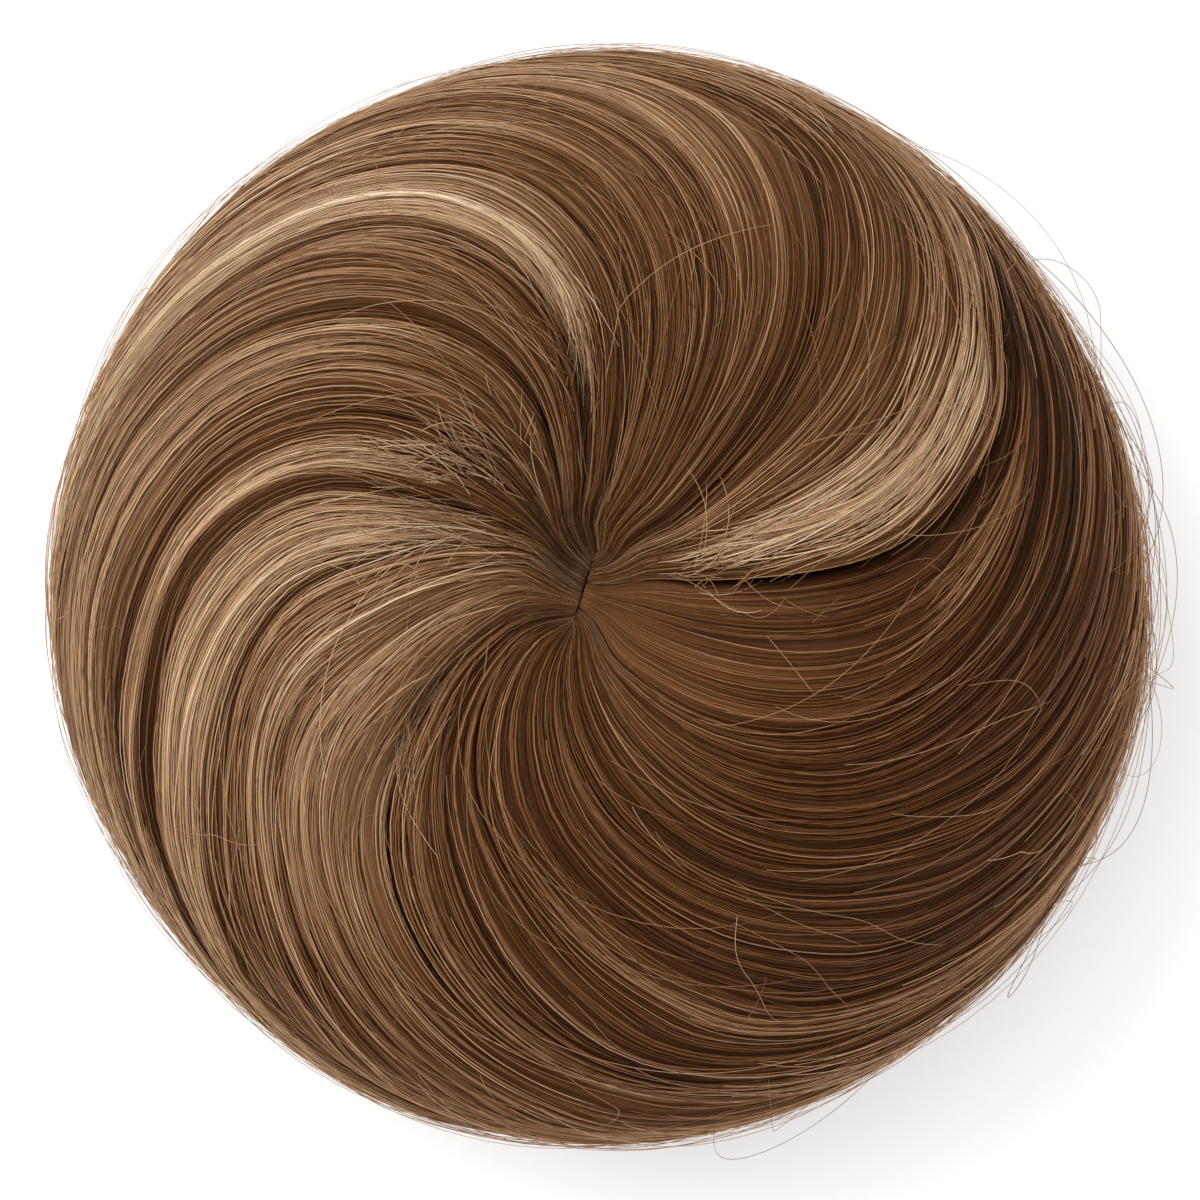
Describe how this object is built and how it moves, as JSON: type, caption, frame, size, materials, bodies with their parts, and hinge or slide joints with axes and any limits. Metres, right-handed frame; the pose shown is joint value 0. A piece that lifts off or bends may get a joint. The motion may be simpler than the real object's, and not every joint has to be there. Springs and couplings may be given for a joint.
{
  "type": "top knot hairpiece",
  "caption": "Round false-hair bun: swirl locks leave a whorl, wrap over the rim and tuck under, on a hollow foundation cap with an elastic band at its mouth.",
  "frame": {"origin": "middle of the flat underside of the elastic band, on the surface that the hairpiece rests on", "axes": "+Z up out of the whorl, +X to the right and +Y up as the bun is seen from above"},
  "size_m": [0.1094, 0.1095, 0.0559],
  "materials": {
    "hair_golden": "fine synthetic hair, golden blond and brown mixed, soft lengthwise gloss",
    "hair_brown": "fine synthetic hair, medium brown with lighter strands, soft lengthwise gloss",
    "hair_mauve": "fine synthetic hair, ash brown, soft lengthwise gloss",
    "hair_reddish": "fine synthetic hair, reddish brown, soft lengthwise gloss",
    "hair_dark": "fine synthetic hair, dark brown, soft lengthwise gloss",
    "cap_net": "dark brown foundation cloth with wefts, matte",
    "elastic": "black woven elastic, matte"
  },
  "bodies": {
    "root": {"lock_01": "hair_golden", "lock_02": "hair_brown", "lock_03": "hair_golden", "lock_04": "hair_mauve", "lock_05": "hair_brown", "lock_06": "hair_brown", "lock_07": "hair_golden", "lock_08": "hair_brown", "lock_09": "hair_mauve", "lock_10": "hair_brown", "lock_11": "hair_dark", "lock_12": "hair_dark", "lock_13": "hair_reddish", "base_cap": "cap_net", "elastic_band": "elastic"}
  },
  "joints": []
}
